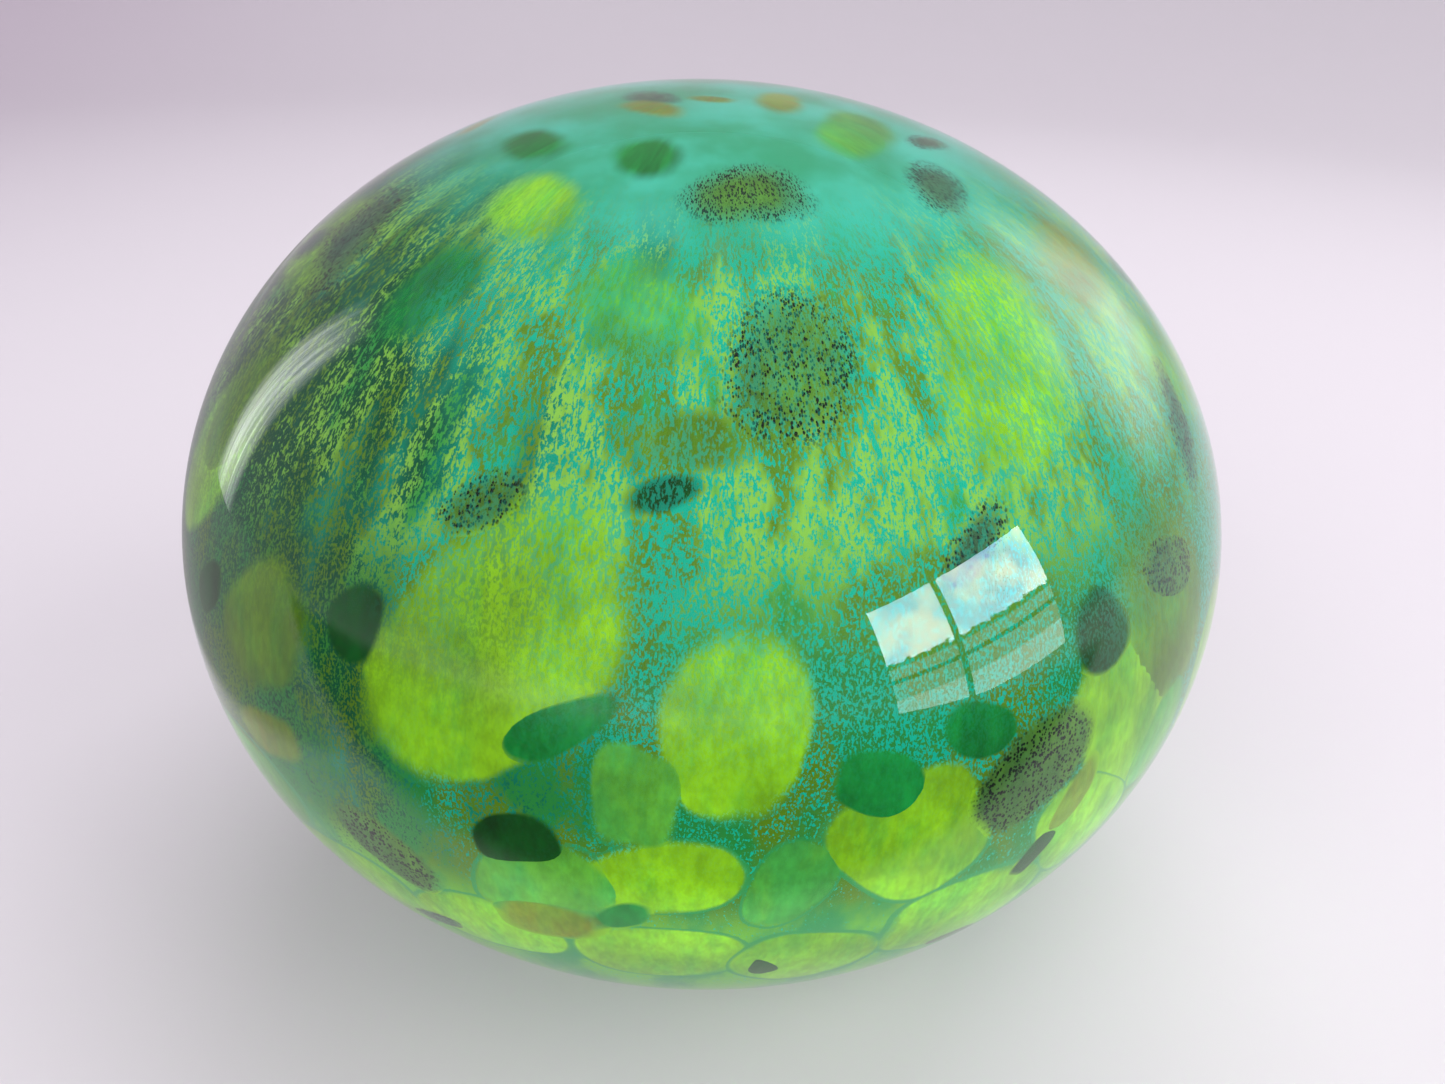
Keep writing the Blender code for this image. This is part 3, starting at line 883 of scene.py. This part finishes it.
def softbox(name, azimuth, elevation, distance, width, height, power, colour):
    """A soft rectangular lamp that faces the dome and doesn't show itself, even reflected."""
    data = bpy.data.lights.new(name, "AREA")
    data.shape = "RECTANGLE"
    data.size, data.size_y = width, height
    data.energy = power
    data.color = colour
    lamp = bpy.data.objects.new(name, data)
    lamp.location = towards(azimuth, elevation, distance)
    lamp.rotation_euler = (DOME_CENTRE - lamp.location).to_track_quat("-Z", "Y").to_euler()
    lamp.visible_camera = False
    lamp.visible_glossy = False
    bpy.context.scene.collection.objects.link(lamp)


def window_material():
    """A cloudy sky over trees, a lawn and a pale sill, behind a rail and an upright bar."""
    s = Sketch("window_light")
    place = s.node("ShaderNodeTexCoord").outputs["Object"]
    across, up, _ = s.parts(place)
    clouds = s.span(s.noise(place, 6.0, 4.0), 0.4, 0.62)
    view = s.blend(clouds, (0.42, 0.66, 0.98, 1.0), (1.0, 1.0, 1.0, 1.0))
    tree_tops = s.math("ADD", up, s.math("MULTIPLY", s.noise(place, 30.0, 3.0), 0.06))
    from_rail = s.math("ABSOLUTE", s.math("ADD", up, 0.06))
    from_bar = s.math("ABSOLUTE", s.math("ADD", across, 0.06))
    for distance, start, whole, colour in (
        (tree_tops, 0.048, 0.040, (0.04, 0.10, 0.04, 1.0)),
        (up, -0.005, -0.012, (0.16, 0.20, 0.18, 1.0)),
        (up, -0.13, -0.14, (0.32, 0.36, 0.36, 1.0)),
        (from_rail, 0.010, 0.007, (0.02, 0.04, 0.03, 1.0)),
        (from_bar, 0.012, 0.009, (0.03, 0.05, 0.03, 1.0)),
    ):
        view = s.blend(s.span(distance, start, whole), view, colour)
    return s.finish(s.node("ShaderNodeEmission", {"Color": view, "Strength": 14.0}).outputs[0])


def glow_material(name, strength, streaks):
    """A bright wall with soft edges and a few upright streaks."""
    softness = 0.35
    s = Sketch(name)
    place = s.node("ShaderNodeTexCoord").outputs["Generated"]
    glow = strength
    for part in s.parts(place)[:2]:
        edge = s.math("MINIMUM", part, s.math("SUBTRACT", 1.0, part))
        glow = s.math("MULTIPLY", glow, s.span(edge, 0.0, softness))
    drawn = s.vector("MULTIPLY", place, (1.0, 0.12, 1.0))
    grain = s.span(s.noise(drawn, 14.0, 2.0), 0.35, 0.65, 1.0 - streaks, 1.0)
    glow = s.math("MULTIPLY", glow, grain)
    light = s.node("ShaderNodeEmission", {"Color": (0.97, 1.0, 1.0, 1.0), "Strength": glow}).outputs[0]
    room = s.node("ShaderNodeBsdfTransparent").outputs[0]
    return s.finish(s.node("ShaderNodeAddShader", {0: light, 1: room}).outputs[0])


def shade_material(name, most):
    """Unlit floor beyond the stand, covering at most a given share near its edge, and fading outwards."""
    s = Sketch(name)
    place = s.node("ShaderNodeTexCoord").outputs["Generated"]
    sideways, nearer, _ = s.parts(place)
    sides = s.math("MINIMUM", sideways, s.math("SUBTRACT", 1.0, sideways))
    cover = s.math("MULTIPLY", s.span(sides, 0.0, 0.25), s.span(nearer, 0.0, 0.95))
    cover = s.math("MULTIPLY", cover, s.span(nearer, 1.0, 0.97, 0.0, most))
    dark = s.node("ShaderNodeEmission", {"Color": (0.09, 0.08, 0.08, 1.0), "Strength": 1.0}).outputs[0]
    room = s.node("ShaderNodeBsdfTransparent").outputs[0]
    return s.finish(s.node("ShaderNodeMixShader", {0: cover, 1: room, 2: dark}).outputs[0])


def hidden_pane(name, width, height, material):
    """A flat pane that only shows as a reflection in the glass, and lights nothing."""
    mesh = bpy.data.meshes.new(name)
    corners = [(-width / 2, -height / 2, 0), (width / 2, -height / 2, 0)]
    corners += [(width / 2, height / 2, 0), (-width / 2, height / 2, 0)]
    mesh.from_pydata(corners, [], [(0, 1, 2, 3)])
    pane = link_mesh(name, mesh, material)
    pane.visible_camera = False
    pane.visible_diffuse = False
    pane.visible_shadow = False
    return pane


def make_pane(name, azimuth, elevation, distance, width, height, roll, material):
    """A hidden pane that faces the dome, leaning by its roll in degrees."""
    pane = hidden_pane(name, width, height, material)
    pane.location = towards(azimuth, elevation, distance)
    facing = (pane.location - DOME_CENTRE).to_track_quat("Z", "Y").to_matrix()
    pane.rotation_euler = (facing @ Matrix.Rotation(math.radians(roll), 3, "Z")).to_euler()


def make_floor_shades():
    """Dark floor beyond the stand, in front and on the left, just above the pale one."""
    for name, most, width, reach, centre, turn in (
        ("floor_shade", 0.9, 2.4, 1.4, (-0.15, -0.85), 0.0),
        ("left_shade", 0.5, 1.6, 1.1, (-0.74, 0.35), -90.0),
    ):
        pane = hidden_pane(name, width, reach, shade_material(name, most))
        pane.location = Vector((*centre, 0.002))
        pane.rotation_euler = (0.0, 0.0, math.radians(turn))


def make_lights():
    """An even room, three softboxes, and the panes that the glass mirrors."""
    world = bpy.data.worlds.new("soft_room")
    world.use_nodes = True
    background = world.node_tree.nodes["Background"]
    background.inputs["Color"].default_value = linear((232, 230, 238))
    background.inputs["Strength"].default_value = 0.56
    bpy.context.scene.world = world
    softbox("overhead", 160, 62, 1.7, 1.6, 1.2, 14, (1.0, 0.99, 1.0))
    softbox("front_fill", -30, 30, 1.8, 1.6, 1.2, 20, (1.0, 0.985, 1.0))
    softbox("right_fill", 75, 30, 1.7, 1.3, 1.3, 14, (1.0, 1.0, 1.0))
    make_floor_shades()
    make_pane("window", 52, 8, 0.95, 0.60, 0.46, 8, window_material())
    make_pane("left_door", -109, 12, 1.0, 0.22, 0.9, 0, glow_material("door_light", 4.0, 0.5))
    make_pane("right_wall", 122, 22, 1.5, 1.3, 1.2, 0, glow_material("wall_light", 2.0, 0.1))


def make_camera():
    """A wide lens held close, looking 29 degrees down and tilted a little."""
    pitch, roll = math.radians(28.79), math.radians(-2.40)
    data = bpy.data.cameras.new("camera")
    data.sensor_width = 36.0
    data.lens = 29.12
    camera = bpy.data.objects.new("camera", data)
    forward = Vector((0.0, math.cos(pitch), -math.sin(pitch)))
    level_right = Vector((1.0, 0.0, 0.0))
    level_down = Vector((0.0, -math.sin(pitch), -math.cos(pitch)))
    right = level_right * math.cos(roll) + level_down * math.sin(roll)
    down = level_down * math.cos(roll) - level_right * math.sin(roll)
    turned = Matrix((right, -down, -forward)).transposed().to_4x4()
    camera.matrix_world = Matrix.Translation((0.0048, -0.2826, 0.2419)) @ turned
    bpy.context.scene.collection.objects.link(camera)
    bpy.context.scene.camera = camera


make_camera()
make_glass()
make_stage()
make_lights()
bpy.context.scene.view_settings.view_transform = "Standard"
